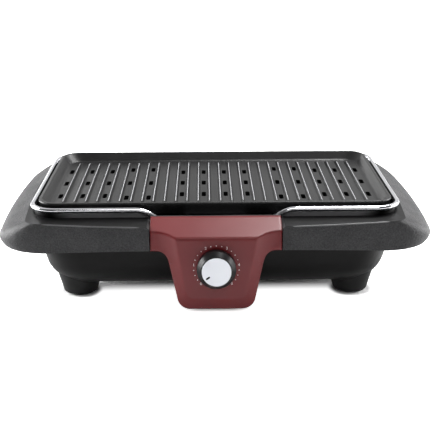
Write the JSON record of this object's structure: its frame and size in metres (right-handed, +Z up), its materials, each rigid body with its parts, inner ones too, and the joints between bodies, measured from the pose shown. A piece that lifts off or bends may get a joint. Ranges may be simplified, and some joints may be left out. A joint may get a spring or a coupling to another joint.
{
  "type": "tabletop electric grill",
  "caption": "Tabletop electric barbecue grill: ribbed lift-off plate over a drip tray in a winged base, with a drop-in control unit, heating element and dial knob.",
  "frame": {"origin": "on the table, in the middle of the footprint of the whole grill", "axes": "+X to the right seen from the control panel, +Y from the control panel to the back, +Z up"},
  "size_m": [0.4988, 0.3355, 0.118],
  "materials": {
    "base_plastic": "fine spark-textured charcoal moulding",
    "foot_plastic": "fine matt moulding",
    "pad_rubber": "matt",
    "tray_steel": "bright plated sheet steel",
    "nonstick_cast": "die-cast, grey non-stick coat",
    "zinc_steel": "zinc plated",
    "panel_plastic": "burgundy satin gloss",
    "black_plastic": "fine matt moulding",
    "knob_plastic": "gloss black",
    "cap_metal": "silver white satin",
    "pointer_paint": "matt black inlay",
    "thermostat_plastic": "glazed block",
    "insulator_ceramic": "unglazed bead",
    "element_steel": "heat-darkened sheath",
    "neck_steel": "plain sheet"
  },
  "bodies": {
    "base": {"base_housing": "base_plastic", "front_left_foot": "foot_plastic", "front_right_foot": "foot_plastic", "rear_left_foot": "foot_plastic", "rear_right_foot": "foot_plastic", "front_left_foot_pad": "pad_rubber", "front_right_foot_pad": "pad_rubber", "rear_left_foot_pad": "pad_rubber", "rear_right_foot_pad": "pad_rubber", "foot_screws": "zinc_steel"},
    "drip_tray": {"drip_tray": "tray_steel"},
    "control_unit": {"control_panel": "panel_plastic", "rear_cover": "black_plastic", "panel_screws": "zinc_steel", "thermostat": "thermostat_plastic", "thermostat_bracket": "zinc_steel", "bracket_screws": "zinc_steel", "heating_element": "element_steel", "element_terminals": "zinc_steel", "terminal_insulators": "insulator_ceramic", "element_neck": "neck_steel", "left_element_support": "neck_steel", "right_element_support": "neck_steel", "cord_gland": "black_plastic"},
    "knob": {"knob_skirt": "knob_plastic", "knob_cap": "cap_metal", "knob_pointer": "pointer_paint", "thermostat_spindle": "zinc_steel"},
    "grill_plate": {"grill_plate": "nonstick_cast"}
  },
  "joints": [
    {"name": "tray_lift", "type": "slide", "parent": "base", "child": "drip_tray", "axis": [0, 0, 1], "range_m": [0, 0.08]},
    {"name": "unit_lift", "type": "slide", "parent": "drip_tray", "child": "control_unit", "axis": [0, 0, 1], "range_m": [0, 0.1]},
    {"name": "plate_lift", "type": "slide", "parent": "control_unit", "child": "grill_plate", "axis": [0, 0, 1], "range_m": [0, 0.06]},
    {"name": "knob_turn", "type": "hinge", "parent": "control_unit", "child": "knob", "pos_m": [0, -0.15018, 0.0615], "axis": [0, 0.9979, -0.0654], "range_deg": [-10, 260]}
  ]
}
